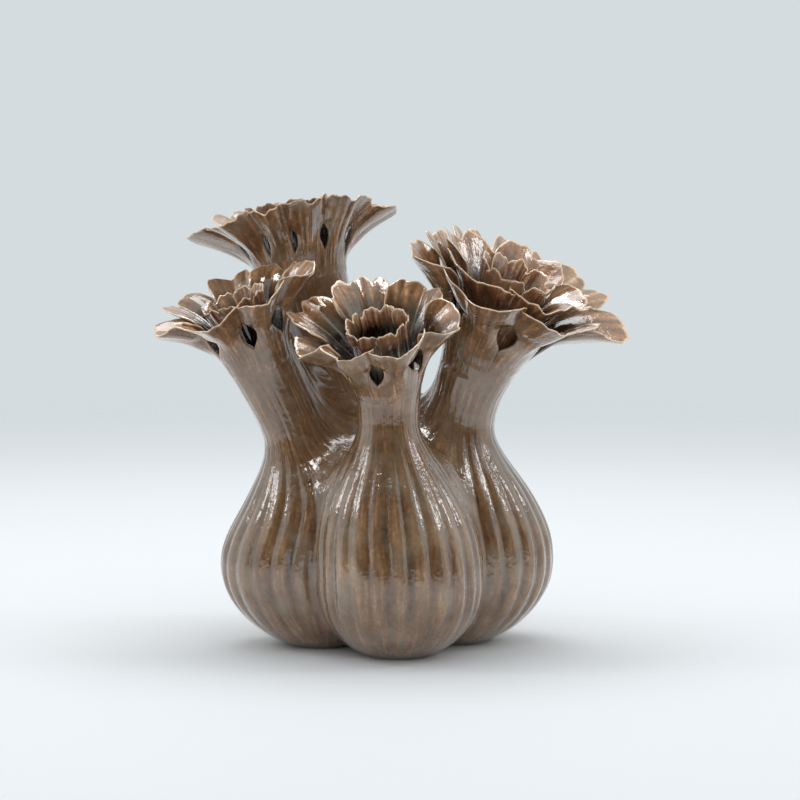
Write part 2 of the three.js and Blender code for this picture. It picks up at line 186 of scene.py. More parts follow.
# How deep the glaze lies, from 0 where it breaks over an edge to 1 or more where it pools. In the
# flowers' middles and cups the depth also carries painted shade.
GLAZE_ON_FOOT = 0.35
GLAZE_ON_BODY = 0.5
GLAZE_OFF_RIDGE = 0.12  # thinner for each millimetre that a ridge stands out
GLAZE_ON_RIM = 0.6
GLAZE_IN_MOUTH = 0.7
GLAZE_IN_BORE = 0.9
EDGE_BREAK = (0.0, 1.5)  # millimetres from the edge
EDGE_BREAK_UNDER = (0.0, 1.1)
ROOT_MARGIN = 3.0  # how far the sides of joined roots are from a bare edge, in millimetres
ROOT_PARTS = (0.4, 0.7)
# It pools in each petal's furrow, and thins at the tip. Towards the middle of a flower it darkens
# further, as painted shade in the flower's recesses over the glaze's own pooling there. The pairs
# are stretches of a petal, as above, over which a darkening or a thinning comes in or goes.
GLAZE_IN_FURROW = 0.35
GLAZE_FURROW_WIDTH = 0.25
FURROW_CLEARS = (0.0, 0.8)
# Painted shade towards the middle of a flower, over the glaze's own pooling there
GLAZE_POOL_AND_SHADE = 1.1
POOL_AND_SHADE_CLEARS = (0.2, 0.85)
GLAZE_OFF_TIP = 0.2
TIP_THINS = (0.5, 1.0)
GLAZE_OFF_PLEAT = 0.2
GLAZE_AT_RIM = 0.3
RIM_POOL_FROM = (-0.2, 0.0)
RIM_POOL_TO = (0.0, 0.25)
# Painted shade down the cup's throat, on its upper and under faces, over the glaze that pools in it
CUP_POOL_AND_SHADE = 0.9
CUP_POOL_AND_SHADE_CLEARS = (0.35, 0.95)
CUP_UNDER_POOL_AND_SHADE = 1.2
CUP_UNDER_POOL_AND_SHADE_CLEARS = (0.4, 0.85)

# The run of the glaze is laid out on these sizes, in millimetres.
GOURD_GIRTH = 45
PETAL_GIRTH = 1.6  # of a petal's seat
PETAL_LENGTH = 50
UNDER_FACE = 40  # how far on a petal's under face starts, so that its streaks are its own

# How finely the surfaces are drawn
RING_POINTS = FLUTES * 14
SKIN_RINGS = 130
UNDERSIDE_SHARE = 0.3
UNDERSIDE_START = 0.1  # radians along the curve of the underside
BORE_RINGS = 30
PETAL_ACROSS = 30
PETAL_ALONG = 34
ROOT_ROWS = 8
AXIS_STEPS = 80
SKIN_START = 0.9  # of a gourd's own radius
SKIN_STEPS = 14
SKIN_PRECISION = 0.02

# What is drawn by chance comes from seeds, so that each piece comes out the same each time.
GOURD_SEEDS = 100
OUTER_SEED = 155
MIDDLE_SEED = 186
INNER_SEED = 155
GLAZE_SEEDS = 7


@dataclass
class Tier:
    """A ring of petals. Each petal is given by its heading in degrees, its reach and its rise.
    open_at is where the bell opens, as a share of the rise, and width is how much of its space a
    petal takes. fold, curl and ruffle are in millimetres, and slit is the size of the holes that
    are left between two roots."""

    name: str
    petals: list
    seed: int
    open_at: float = 0.62
    width: float = 1.14
    fold: float = 8.0
    curl: float = 1.5
    ruffle: float = 1.6
    slit: float = 1.0


def cup_tier(start, reach, rise):
    """The five small petals that stand round the hole of a flower, evenly spaced."""
    count = 5
    petals = [(start + 360 * i / count, reach, rise) for i in range(count)]
    return Tier("inner", petals, INNER_SEED, open_at=0.5, fold=0.5, width=1.12, curl=0.5, ruffle=0.4)


GOURDS = [
    SimpleNamespace(
        name="front", turn=-90, belly=52.6, foot_tuck=8, shoulder=(-5, 7, 115), waist=(-7.5, 8.5, 150),
        waist_radius=19.2, mouth=(-8, 7, 180), facing=(-0.2, -0.5), mouth_radius=24, rim_width=9,
        tiers=[
            Tier("outer", [(0, 49, 34), (60, 52, 38), (102, 60, 42), (148, 62, 40), (182, 50, 31),
                           (228, 32, 33), (290, 33, 34)], OUTER_SEED, fold=15.0, slit=1.15),
            cup_tier(18, 19, 38),
        ]),
    SimpleNamespace(
        name="left", turn=180, belly=52.5, foot_tuck=12.5, shoulder=(5.5, 0, 95), waist=(-6.5, 0, 138),
        waist_radius=18.8, mouth=(-29, -2, 193), facing=(-0.42, -0.22), mouth_radius=23.4, rim_width=9,
        tiers=[
            Tier("outer", [(0, 53, 40), (55, 52, 40), (97, 57, 43), (133, 60, 44), (178, 54, 39),
                           (248, 37, 37), (308, 36, 38)], OUTER_SEED, fold=13.0, slit=1.15),
            cup_tier(60, 20, 38),
        ]),
    SimpleNamespace(
        name="right", turn=0, belly=52.8, foot_tuck=12.5, shoulder=(-4.5, 0, 98), waist=(-7.5, 0, 144),
        waist_radius=21.5, mouth=(7.5, -4, 197), facing=(0.45, -0.3), mouth_radius=29, rim_width=14.2,
        tiers=[
            Tier("outer", [(10, 83, 40), (50, 89, 48), (88, 84, 49), (115, 76, 50), (145, 66, 48),
                           (178, 68, 44), (242, 52, 42), (315, 50, 43)], OUTER_SEED, fold=13.0, slit=0.85),
            Tier("middle", [(10, 48, 50), (70, 56, 56), (140, 54, 54), (222, 42, 50), (305, 38, 49)],
                 MIDDLE_SEED, open_at=0.5, ruffle=4.0),
            cup_tier(30, 24, 53),
        ]),
    SimpleNamespace(
        name="back", turn=90, belly=54, foot_tuck=12.5, shoulder=(-3, -7, 130), waist=(-43, -2, 222),
        waist_radius=28.8, mouth=(-51, -1, 247), facing=(-0.15, 0.06), mouth_radius=31, rim_width=9,
        tiers=[
            Tier("outer", [(5, 66, 31), (48, 68, 40), (88, 62, 49), (130, 66, 48), (180, 68, 31),
                           (222, 57, 36), (252, 50, 39), (284, 46, 41), (325, 50, 41)], OUTER_SEED,
                 open_at=0.54, slit=0.6),
            cup_tier(40, 32, 42),
        ]),
]


def unit(vector):
    return vector / np.linalg.norm(vector)


def mix(a, b, share):
    return a + (b - a) * share


def ease(x, low, high):
    """0 below low, 1 above high, and smooth between."""
    t = np.clip((x - low) / (high - low), 0, 1)
    return t * t * (3 - 2 * t)


def bump(x, width):
    """1 at 0, and dying away to nothing over a few widths."""
    return np.exp(-((x / width) ** 2))


def soft_min(a, b, softness):
    """The smaller of two distances, rounded off where they are alike, as a fillet is."""
    near = np.maximum(softness - np.abs(a - b), 0) / softness
    return np.minimum(a, b) - near * near * softness / 4


def smooth_path(route, steps):
    """A smooth line through the points of a route (a centripetal Catmull-Rom curve)."""
    route = np.array(route, float)
    route = np.vstack([2 * route[0] - route[1], route, 2 * route[-1] - route[-2]])
    spans = len(route) - 3
    line = []
    for step in range(steps + 1):
        place = spans * step / steps
        i = min(int(place), spans - 1)
        w = place - i
        p = route[i : i + 4]
        d = [np.sqrt(np.linalg.norm(p[k + 1] - p[k])) for k in range(3)]
        start = ((p[1] - p[0]) / d[0] - (p[2] - p[0]) / (d[0] + d[1])) * d[1] + (p[2] - p[1])
        end = ((p[3] - p[2]) / d[2] - (p[3] - p[1]) / (d[1] + d[2])) * d[1] + (p[2] - p[1])
        a, b = p[2] - p[1] - start, p[1] - p[2] + end
        line.append(p[1] + w * (p[2] - p[1]) + w * (1 - w) * ((1 - w) * -a + w * -b))
    return np.array(line)


@lru_cache(maxsize=None)
def wander_draws(seed, waves):
    """For each wave, where it starts in its turn, how it drifts as it climbs, and its strength."""
    draws = np.random.default_rng(seed)
    lowest, highest = (0, -1, 0.5), (2 * np.pi, 1, 1)
    return [(wave, *draws.uniform(lowest, highest)) for wave in waves]


def wander(kind, seed, angle, z):
    """A slow hand-made unevenness, to both sides of 0, round a pot and up it."""
    total = 0
    for wave, turn, climb, strength in wander_draws(seed + kind.seed, kind.waves):
        total = total + strength * np.sin(wave * angle + turn + climb * z / kind.length)
    return kind.size * (total / len(kind.waves))


for number, gourd in enumerate(GOURDS):
    gourd.seed = GOURD_SEEDS * (number + 1)
    turn = math.radians(gourd.turn + CLUSTER_TURN)
    gourd.outward = np.array([math.cos(turn), math.sin(turn), 0])
    gourd.centre = CLUSTER_CENTRE + CLUSTER_RADIUS * gourd.outward
    gourd.way = unit(np.array([*gourd.facing, 1.0]))
    for place in ("shoulder", "waist", "mouth"):
        setattr(gourd, place, np.array(getattr(gourd, place), float) + gourd.centre)
    foot = gourd.centre - gourd.foot_tuck * gourd.outward
    belly = gourd.centre + BELLY_HEIGHT * UP
    past = gourd.mouth + gourd.mouth_radius * gourd.way
    gourd.axis = smooth_path([foot, belly, gourd.shoulder, gourd.waist, gourd.mouth, past], AXIS_STEPS)


def axis_at(gourd, z):
    """The point of a gourd's middle line at a height."""
    line = gourd.axis
    return np.stack([np.interp(z, line[:, 2], line[:, 0]), np.interp(z, line[:, 2], line[:, 1]), z], -1)


def profile(gourd, z):
    """The radius of a gourd at a height, without its relief."""
    z = np.asarray(z, float)
    below = np.clip((BELLY_HEIGHT - z) / BELLY_HEIGHT, 0, 1)
    narrowing = 1 - (FOOT_RADIUS / gourd.belly) ** 2
    under = gourd.belly * np.sqrt(1 - narrowing * below**UNDERSIDE_FULLNESS)
    rise = np.clip((z - BELLY_HEIGHT) / (gourd.waist[2] - BELLY_HEIGHT), 0, 1)
    shoulder = mix(gourd.waist_radius, gourd.belly, ease(1 - rise**SHOULDER_FULLNESS, 0, 1))
    flare = np.clip((z - gourd.waist[2]) / (gourd.mouth[2] - gourd.waist[2]), 0, 1)
    neck = mix(gourd.waist_radius, gourd.mouth_radius, flare**NECK_FLARE)
    return np.where(z < BELLY_HEIGHT, under, np.where(z < gourd.waist[2], shoulder, neck))


def relief(gourd, z, angle):
    """The pressed flutes, which fade up the neck, and the unevenness of a hand-made pot."""
    share = z / gourd.waist[2]
    phase = FLUTES * (angle + wander(FLUTE_STRAY, gourd.seed, angle, z))
    rounded = GROOVE_SHARPNESS * np.cos(phase / 2) ** 2 + (1 - GROOVE_SHARPNESS)
    ridge = 2 * np.sqrt(rounded) - RIDGE_LEVEL
    uneven = 1 + wander(FLUTE_CHANGE, gourd.seed, angle, z)
    fading = mix(1, FLUTES_ON_NECK, ease(share, *FLUTES_FADE))
    flutes = RIDGE_HEIGHT * FLUTE_DEPTH * ease(share, *FLUTES_START) * fading * uneven * ridge
    lumps = wander(THROWN_LUMPS, gourd.seed, angle, z) * ease(share, *LUMPS_START)
    return (flutes + lumps) * ease(gourd.mouth[2] - z, SMOOTH_RIM, SMOOTH_ROOTS)


def outside(gourd, points, near=math.inf):
    """How far points lie outside a gourd. Its relief only counts for points that are near it."""
    away = points - axis_at(gourd, points[:, 2])
    distance = np.hypot(away[:, 0], away[:, 1]) - profile(gourd, points[:, 2])
    close = distance < near
    if close.any():
        angle = np.arctan2(away[close, 1], away[close, 0])
        distance[close] -= relief(gourd, points[close, 2], angle)
    return distance


def frame_across(way):
    """Two directions at right angles to the way that something faces."""
    side = unit(np.array([1.0, 0, 0]) - way * way[0])
    return side, np.cross(way, side)


def spokes(across, angles):
    """The directions of a ring's spokes."""
    side, over = across
    return np.cos(angles)[..., None] * side + np.sin(angles)[..., None] * over


def station(gourd, z):
    """The middle of the ring at a height, two directions across it, and how free of its
    neighbours the neck has grown, from 0 to 1."""
    mouth_z, waist_z = gourd.mouth[2], gourd.waist[2]
    above = np.array(min(z + AXIS_STEP, mouth_z))
    below = np.array(max(z - AXIS_STEP, 0))
    along = unit(axis_at(gourd, above) - axis_at(gourd, below))
    way = mix(UP, along, ease(z, LEVEL_HEIGHT, waist_z))
    way = unit(mix(way, gourd.way, ease(z, waist_z, mouth_z)))
    own_share = ease(z, waist_z, mix(waist_z, mouth_z, NECK_FREE_AT))
    return axis_at(gourd, np.array(float(z))), frame_across(way), own_share


def seam_between(gourd, other):
    """The plane in which two gourds meet, as its normal and a point in it."""
    across = unit(other.centre - gourd.centre)
    middle = (gourd.centre + other.centre) / 2 + BELLY_HEIGHT * UP
    lean = SEAM_LEAN * (gourd.waist[2] - other.waist[2])
    return unit(across - lean * UP), middle


def seam_reach(gourd, centre, spread, past):
    """How far each spoke runs before it is past a seam by a given distance."""
    reach = np.full(len(spread), FAR)
    for normal, middle in gourd.seams:
        facing = spread @ normal
        distance = past - (centre - middle) @ normal
        hit = np.where(facing > TINY, distance / np.maximum(facing, TINY), FAR)
        reach = np.minimum(reach, np.maximum(hit, 1))
    return reach


def skin_radii(gourd, z, angles):
    """One ring of a gourd's skin, where it has run together with its neighbours'."""
    centre, across, own_share = station(gourd, z)
    spread = spokes(across, angles)
    own = profile(gourd, z) + relief(gourd, z, angles)
    others = [g for g in GOURDS if g is not gourd and g.mouth[2] > z]

    def gap(radius, some):
        points = centre + radius[:, None] * spread[some]
        distance = mix(outside(gourd, points), radius - own[some], own_share)
        softness = mix(FILLET_LOW, FILLET_HIGH, ease(points[:, 2], *FILLET_HEIGHTS))
        for other in others:
            neighbour = outside(other, points, softness.max() + FILLET_MARGIN)
            distance = soft_min(distance, neighbour, softness)
        return distance

    # Each spoke steps out by its distance to the joined skins until it meets them.
    limit = seam_reach(gourd, centre, spread, SEAM_OVERLAP)
    radius = np.minimum(own * SKIN_START, limit)
    growing = np.arange(len(angles))
    for _ in range(SKIN_STEPS):
        step = -gap(radius[growing], growing)
        radius[growing] = np.minimum(radius[growing] + step, limit[growing])
        growing = growing[(np.abs(step) > SKIN_PRECISION) & (radius[growing] < limit[growing])]
        if not len(growing):
            break
    # Past a seam the skin sinks a little, so that the neighbour's skin covers it.
    beyond = np.maximum(radius - seam_reach(gourd, centre, spread, 0.0), 0)
    return centre, spread, radius - SEAM_SINK * beyond


def bore_ring(gourd, z, angles):
    """One ring of a gourd's hollow, a wall's thickness inside its skin and its seams."""
    centre, across, own_share = station(gourd, z)
    spread = spokes(across, angles)
    wall = mix(WALL, gourd.rim_width, ease(z, gourd.waist[2], gourd.mouth[2]))
    radius = np.full(RING_POINTS, profile(gourd, z) - wall - FLUTE_DEPTH * (1 - own_share))
    radius = np.minimum(radius, seam_reach(gourd, centre, spread, -WALL))
    return centre + radius[:, None] * spread


def skin_heights(mouth_z):
    """Heights of the skin's rings: close together where the underside curves, then even."""
    low = int(SKIN_RINGS * UNDERSIDE_SHARE)
    curve = np.linspace(UNDERSIDE_START, np.pi / 2, low)
    heights = [BELLY_HEIGHT * (1 - math.cos(a)) for a in curve]
    return heights + np.linspace(BELLY_HEIGHT, mouth_z, SKIN_RINGS - low)[1:].tolist()


def ring_faces(rings, count):
    """Quads between closed rings of points."""
    row = np.arange(count)
    faces = []
    for ring in range(rings - 1):
        a, b = ring * count + row, ring * count + (row + 1) % count
        faces += np.stack([a, b, b + count, a + count], -1).tolist()
    return faces


def fan(start, count, middle, outwards):
    """Triangles from a ring of points to one point in its middle."""
    edges = [(start + i, start + (i + 1) % count) for i in range(count)]
    return [(middle, a, b) if outwards else (middle, b, a) for a, b in edges]


def put_in_scene(name, data):
    thing = bpy.data.objects.new(name, data)
    bpy.context.scene.collection.objects.link(thing)
    return thing


def make_piece(name, points, faces, glaze_depth, lie, material):
    """A glazed piece that stands in for the CAD node of the same name. lie is each point's place
    across and along the run of the glaze, in millimetres, and a number that sets a piece's streaks
    apart from its neighbours'."""
    mesh = bpy.data.meshes.new(name + "_glazed")
    mesh.from_pydata((points * MM).tolist(), [], faces)
    mesh.polygons.foreach_set("use_smooth", [True] * len(mesh.polygons))
    # The glaze's depth, which on the petals also carries painted shade.
    layer = mesh.attributes.new("glaze_depth", "FLOAT", "POINT")
    layer.data.foreach_set("value", np.asarray(glaze_depth, np.float32))
    layer = mesh.attributes.new("glaze_run", "FLOAT_VECTOR", "POINT")
    layer.data.foreach_set("vector", np.asarray(lie, np.float32).reshape(-1))
    mesh.validate()
    piece = put_in_scene(name + "_glazed", mesh)
    piece.data.materials.append(material)
    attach(piece, "root")
    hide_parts(name)


def make_gourd(gourd, material):
    """A fluted gourd with its neck, from the middle of its foot up the skin and down the bore."""
    angles = 2 * np.pi * np.arange(RING_POINTS) / RING_POINTS
    angles = (angles + np.pi) % (2 * np.pi) - np.pi
    rings, depths = [], []

    def add_ring(points, depth):
        rings.append(points)
        depths.append(np.broadcast_to(depth, (RING_POINTS,)))

    foot = gourd.axis[0]
    level = spokes(frame_across(UP), angles)
    for radius, z in FOOT_RINGS:
        add_ring(foot + radius * level + z * UP, GLAZE_ON_FOOT)
    mouth_z = gourd.mouth[2]
    for z in skin_heights(mouth_z):
        centre, spread, radius = skin_radii(gourd, z, angles)
        height = relief(gourd, z, angles)
        add_ring(centre + radius[:, None] * spread, GLAZE_ON_BODY - GLAZE_OFF_RIDGE * height)
    rim = radius
    centre, across, _ = station(gourd, mouth_z)
    spread = spokes(across, angles)
    for inset, height in RIM_FROM_SKIN:
        add_ring(centre + (rim - inset)[:, None] * spread + height * gourd.way, GLAZE_ON_RIM)
    inner_rim = gourd.mouth_radius - gourd.rim_width
    for inset, height in RIM_FROM_BORE:
        add_ring(centre + (inner_rim + inset) * spread + height * gourd.way, GLAZE_IN_MOUTH)
    floor = WALL + FOOT_RECESS_DEPTH
    for i in range(1, BORE_RINGS + 1):
        add_ring(bore_ring(gourd, mix(mouth_z, floor, i / BORE_RINGS), angles), GLAZE_IN_BORE)

    points = np.concatenate(rings)
    faces = ring_faces(len(rings), RING_POINTS)
    last = (len(rings) - 1) * RING_POINTS
    faces += fan(0, RING_POINTS, len(points), False) + fan(last, RING_POINTS, len(points) + 1, True)
    points = np.vstack([points, foot + FOOT_RECESS_DEPTH * UP, points[last:].mean(0)])
    depth = np.concatenate([*depths, [GLAZE_ON_FOOT, GLAZE_IN_BORE]])
    turn = np.append(np.tile(angles, len(rings)), [0, 0])
    lie = np.stack([GOURD_GIRTH * turn, points[:, 2], np.full(len(points), gourd.seed)], -1)
    make_piece(f"gourd_{gourd.name}", points, faces, depth, lie, material)


def at_heading(made, column, angle):
    """A petal size at any angle round the flower, passing smoothly from one petal to the next."""
    headings = np.array([petal[0] for petal in made.petals] + [made.petals[0][0] + 360])
    values = np.array([petal[column] for petal in made.petals] + [made.petals[0][column]])
    turned = (np.degrees(angle) - headings[0]) % 360 + headings[0]
    place = np.interp(turned, headings, np.arange(len(headings)))
    before = np.minimum(place.astype(int), len(made.petals) - 1)
    return mix(values[before], values[before + 1], ease(place - before, 0, 1))


def petal_bounds(made, index):
    """Half way to the neighbours' headings on either side, in radians."""
    headings = [petal[0] for petal in made.petals]
    headings = [headings[-1] - 360] + headings + [headings[0] + 360]
    before, own, after = headings[index : index + 3]
    return math.radians((before + own) / 2), math.radians((own + after) / 2)


def petal_surface(gourd, made, seat, angle, share):
    """The bell-shaped surface that a tier's petals follow from the rim to their tips."""
    reach = at_heading(made, 1, angle)
    rise = at_heading(made, 2, angle)
    flare = NECK_FLARE * (gourd.mouth_radius - gourd.waist_radius) / (gourd.mouth[2] - gourd.waist[2])
    opened = seat + (flare * made.open_at * rise if made.name == "outer" else 0)
    # A petal's run is one curve, up the opening bell and then out to its reach.
    a, b, c = (1 - share) ** 2, 2 * share * (1 - share), share**2
    radius = a * seat + b * opened + c * reach
    height = b * rise * made.open_at + c * rise
    spread = spokes(frame_across(gourd.way), angle)
    return gourd.mouth + radius[..., None] * spread + height[..., None] * gourd.way


def smeared_root(gourd, seat, angles, down):
    """One row of a petal's root. down is how far the row is along the smear, from 0 to 1."""
    z = gourd.mouth[2] - ROOT_RUN * down
    centre, across, _ = station(gourd, z)
    radius = seat + profile(gourd, z) - gourd.mouth_radius - SMEAR_SINK * ease(down, *SMEAR_SUNK)
    return centre + radius * spokes(across, angles)


def grid_normals(points):
    """Which way a grid of points faces at each of them."""
    down = np.gradient(points, axis=0)
    across = np.gradient(points, axis=1)
    normals = np.cross(down, across)
    return normals / np.maximum(np.linalg.norm(normals, axis=-1, keepdims=True), TINY)


def petal_grid(root_rows):
    """Places on a petal: v along it, from -1 at the foot of its root through 0 at the rim to 1 at
    its tip, and u across it, from -1 to 1. They lie closer together near its edges."""
    across = np.sin(np.pi / 2 * np.linspace(-1, 1, PETAL_ACROSS + 1))
    along = np.sin(np.pi / 2 * np.linspace(0, 1, PETAL_ALONG + 1))
    along = np.concatenate([np.linspace(-1, 0, root_rows + 1)[:-1], along])
    return np.meshgrid(along, across, indexing="ij")


def petal_chance(gourd, made, index):
    """What differs by chance from one petal to the next."""
    draws = np.random.default_rng(gourd.seed + made.seed + index)
    return SimpleNamespace(
        lobes=draws.choice(LOBE_COUNTS),
        lobe_offset=draws.uniform(*LOBE_OFFSET),
        ragged=[draws.uniform(*ANY_PHASE) for _ in RAGGED_EDGE],
        swelling=draws.uniform(*ANY_PHASE),
        slits=[draws.uniform(*SLIT_WIDTH) for _ in range(2)] if made.name == "outer" else None,
        ruffle=draws.uniform(*ANY_PHASE),
        curl=draws.uniform(*CURL_SIZE),
    )


def new_petal(gourd, made, seat, index):
    """A petal's places, its chance, and what its outline and its relief share."""
    v, u = petal_grid(ROOT_ROWS if made.name == "outer" else 0)
    low, high = petal_bounds(made, index)
    petal = SimpleNamespace(gourd=gourd, made=made, seat=seat, index=index, v=v, u=u,
                            free=np.maximum(v, 0), heading=(low + high) / 2, space=(high - low) / 2,
                            chance=petal_chance(gourd, made, index))
    # At the front of a flower the petals are joined along their sides. At the back they part.
    facing = -np.sin(petal.heading + PARTING_SPREAD * u * petal.space)
    petal.joined = np.ones_like(u) if made.name == "inner" else ease(facing, *PARTING)
    lobes = petal.chance.lobes
    start = np.pi / 2 if lobes == 3 else 0
    petal.lobe = np.abs(np.sin(np.pi / 2 * lobes * (u + petal.chance.lobe_offset) + start))
    petal.lobe = petal.lobe**LOBE_ROUNDNESS
    petal.half = petal_half_width(petal)
    petal.angle = petal.heading + u * petal.half
    return petal


def petal_length(petal):
    """How far along the bell each place lies: round shoulders, and lobes along a ragged tip."""
    u, free = petal.u, petal.free
    ragged = sum(size * np.sin(often * u + phase)
                 for (size, often), phase in zip(RAGGED_EDGE, petal.chance.ragged))
    scallop = LOBE_LENGTH * petal.lobe - LOBE_DIP + ragged
    free_corner = FREE_CORNER_CUT * u**FREE_CORNER_SQUARENESS
    joined_corner = JOINED_CORNER_CUT * u**JOINED_CORNER_SQUARENESS
    rounding = mix(free_corner, joined_corner, petal.joined)
    return free * (1 + (scallop - rounding) * free**2)


def petal_half_width(petal):
    """How far each row spreads to either side, in radians."""
    u, v, made, chance = petal.u, petal.v, petal.made, petal.chance
    if made.name == "outer":
        # The roots are smeared together, but for a slit left open between two petals.
        slit = np.where(u > 0, *chance.slits) * mix(SLIT_AT_BACK, 1, petal.joined) * made.slit
        wide = mix(JOINED_WIDTH, made.width, ease(v, *OUTER_WIDENS))
        wide = wide - slit * np.sin(np.pi * np.clip((v - SLIT_FROM) / SLIT_LENGTH, 0, 1))
    else:
        wide = mix(ROOT_WIDTH, made.width, ease(v, *INNER_WIDENS))
    taper = mix(1, mix(FREE_TIP, JOINED_TIP, petal.joined), ease(v, *TAPERED))
    swelling = SIDE_SWELLING * np.sin(SIDE_SWELLINGS * np.pi * v + chance.swelling)
    return petal.space * wide * taper * (1 + swelling * ease(v, *SWELLING))


def petal_pleats(petal):
    """Fine pleats that run along a petal, where the clay was pinched thin."""
    round_flower, along_petal = PLEATS_ROUND * petal.angle, PLEATS_UP * petal.v
    pleats = wander(PETAL_PLEATS, petal.gourd.seed + petal.index, round_flower, along_petal)
    return pleats * ease(petal.v, *PLEATED)


def petal_lift(petal):
    """How far the petal stands off the bell: its lap over the neighbour, its fold, the furrow down
    its middle, the domed lobes, its pleats, and the ruffle and curl of its edge."""
    u, v, made, joined, chance = petal.u, petal.v, petal.made, petal.joined, petal.chance
    lap = mix(LAP_AT_ROOT, mix(LAP, LAP_JOINED, joined), ease(v, *LAPPED))
    fold = made.fold * mix(FREE_FOLD, 1, joined) * (np.abs(u) ** FOLD_SHARPNESS - FOLD_LEVEL)
    furrow = FURROW_DEPTH * mix(1, FURROW_JOINED, joined) * bump(u, FURROW_WIDTH)
    round_flower, along_petal = PETAL_LUMPS_ROUND * petal.angle, PETAL_LUMPS_UP * v
    lumps = wander(PETAL_LUMPS, petal.gourd.seed + petal.index, round_flower, along_petal)
    ruffle = np.sin(RUFFLES * np.pi * v + chance.ruffle + np.where(u > 0, RUFFLE_TURN, 0))
    lift = lap * u + fold * ease(v, *FOLDED) - furrow * ease(v, *FURROWED)
    lift = lift + lumps * ease(v, *LUMPY)
    lift = lift - LOBE_DOME * (petal.lobe - LOBE_LEVEL) * ease(v, *DOMED)
    lift = lift + PLEAT_HEIGHT * petal_pleats(petal)
    lift = lift + made.ruffle * ruffle * np.abs(u) ** RUFFLE_REACH * ease(v, *RUFFLED)
    lift = lift - made.curl * chance.curl * ease(v, *CURLED) ** CURL_SHARPNESS
    return ease(v, *SETTLED) * lift


def petal_depths_of_glaze_and_shade(petal):
    """How deep the glaze lies on a petal's upper and under faces, with painted shade added as depth
    towards the middle of the flower and down the cup.
    """
    u, v = petal.u, petal.v
    from_side = (1 - np.abs(u)) * petal.half * petal.seat * PETAL_GIRTH
    from_side = from_side + ROOT_MARGIN * (1 - ease(v, *ROOT_PARTS))
    from_edge = np.minimum(from_side, (1 - petal.free) * PETAL_LENGTH)
    upper = GLAZE_ON_BODY * ease(from_edge, *EDGE_BREAK)
    upper = upper + GLAZE_IN_FURROW * bump(u, GLAZE_FURROW_WIDTH) * (1 - ease(v, *FURROW_CLEARS))
    # Painted shade: the upper face darkens towards the middle of the flower, over the glaze that pools
    # there.
    upper = upper + GLAZE_POOL_AND_SHADE * (1 - ease(v, *POOL_AND_SHADE_CLEARS)) - GLAZE_OFF_TIP * ease(v, *TIP_THINS)
    upper = upper + GLAZE_AT_RIM * (1 - ease(v, *RIM_POOL_TO)) * ease(v, *RIM_POOL_FROM)
    under = GLAZE_ON_BODY * ease(from_edge, *EDGE_BREAK_UNDER)
    pleats = GLAZE_OFF_PLEAT * petal_pleats(petal)
    upper, under = upper - pleats, under + pleats
    # Painted shade: in the cup both faces darken down into the throat, over the glaze that pools there.
    if petal.made.name == "inner":
        upper = upper + CUP_POOL_AND_SHADE * (1 - ease(v, *CUP_POOL_AND_SHADE_CLEARS))
        under = under + CUP_UNDER_POOL_AND_SHADE * (1 - ease(v, *CUP_UNDER_POOL_AND_SHADE_CLEARS))
    return upper, under


def quads_of(grid):
    """Quads between the points that a grid numbers."""
    corners = [grid[:-1, :-1], grid[:-1, 1:], grid[1:, 1:], grid[1:, :-1]]
    return np.stack(corners, -1).reshape(-1, 4)


def make_petal(gourd, made, seat, index, material):
    """One petal: a sheet of clay that follows its flower's bell and stands off it in places."""
    petal = new_petal(gourd, made, seat, index)
    v, u = petal.v, petal.u
    middle = petal_surface(gourd, made, seat, petal.angle, petal_length(petal))
    for row in np.flatnonzero(v[:, 0] < 0):
        middle[row] = smeared_root(gourd, seat, petal.angle[row], -v[row, 0])
    middle = middle + petal_lift(petal)[..., None] * grid_normals(middle)

    thickness = mix(ROOT_THICKNESS, EDGE_THICKNESS, ease(v, *THINNED))
    inside_edge = (1 - np.abs(u) ** EDGE_SQUARENESS) * (1 - petal.free**TIP_SQUARENESS)
    half_thick = (thickness / 2 * np.sqrt(np.clip(inside_edge, 0, 1)))[..., None]
    normals = grid_normals(middle)
    upper, under = middle + half_thick * normals, middle - half_thick * normals

    # The two faces share the points of the outline, so that the edge is round.
    rows, columns = u.shape
    inner = slice(0, rows - 1), slice(1, columns - 1)
    upper_grid = np.arange(rows * columns).reshape(rows, columns)
    under_grid = upper_grid.copy()
    under_grid[inner] = rows * columns + np.arange(under_grid[inner].size).reshape(under_grid[inner].shape)
    points = np.vstack([upper.reshape(-1, 3), under[inner].reshape(-1, 3)])
    faces = quads_of(upper_grid)[:, ::-1].tolist() + quads_of(under_grid).tolist()
    faces += [tuple(upper_grid[0]) + tuple(under_grid[0][-2:0:-1])]

    upper_depth, under_depth = petal_depths_of_glaze_and_shade(petal)
    depths = np.concatenate([upper_depth.reshape(-1), under_depth[inner].reshape(-1)])
    number = np.full(u.shape, gourd.seed + GLAZE_SEEDS * index)
    lie = np.stack([u * petal.half * seat * PETAL_GIRTH, PETAL_LENGTH * v, number], -1)
    lie = np.vstack([lie.reshape(-1, 3), lie[inner].reshape(-1, 3) + UNDER_FACE])
    name = f"{gourd.name}_{made.name}_petal_{index + 1}"
    make_piece(name, points, faces, depths, lie, material)


def tier_seat(gourd, place):
    """The radius on which a tier's petals stand. The outer ones are smeared over the rim, and the
    others stand inside it, one tier within the other."""
    if place == 0:
        return gourd.mouth_radius + SMEAR_PROUD - ROOT_THICKNESS / 2
    seat = gourd.mouth_radius - SEAT_CLEARANCE - ROOT_THICKNESS / 2
    return seat - place * (ROOT_THICKNESS + TIER_CLEARANCE)


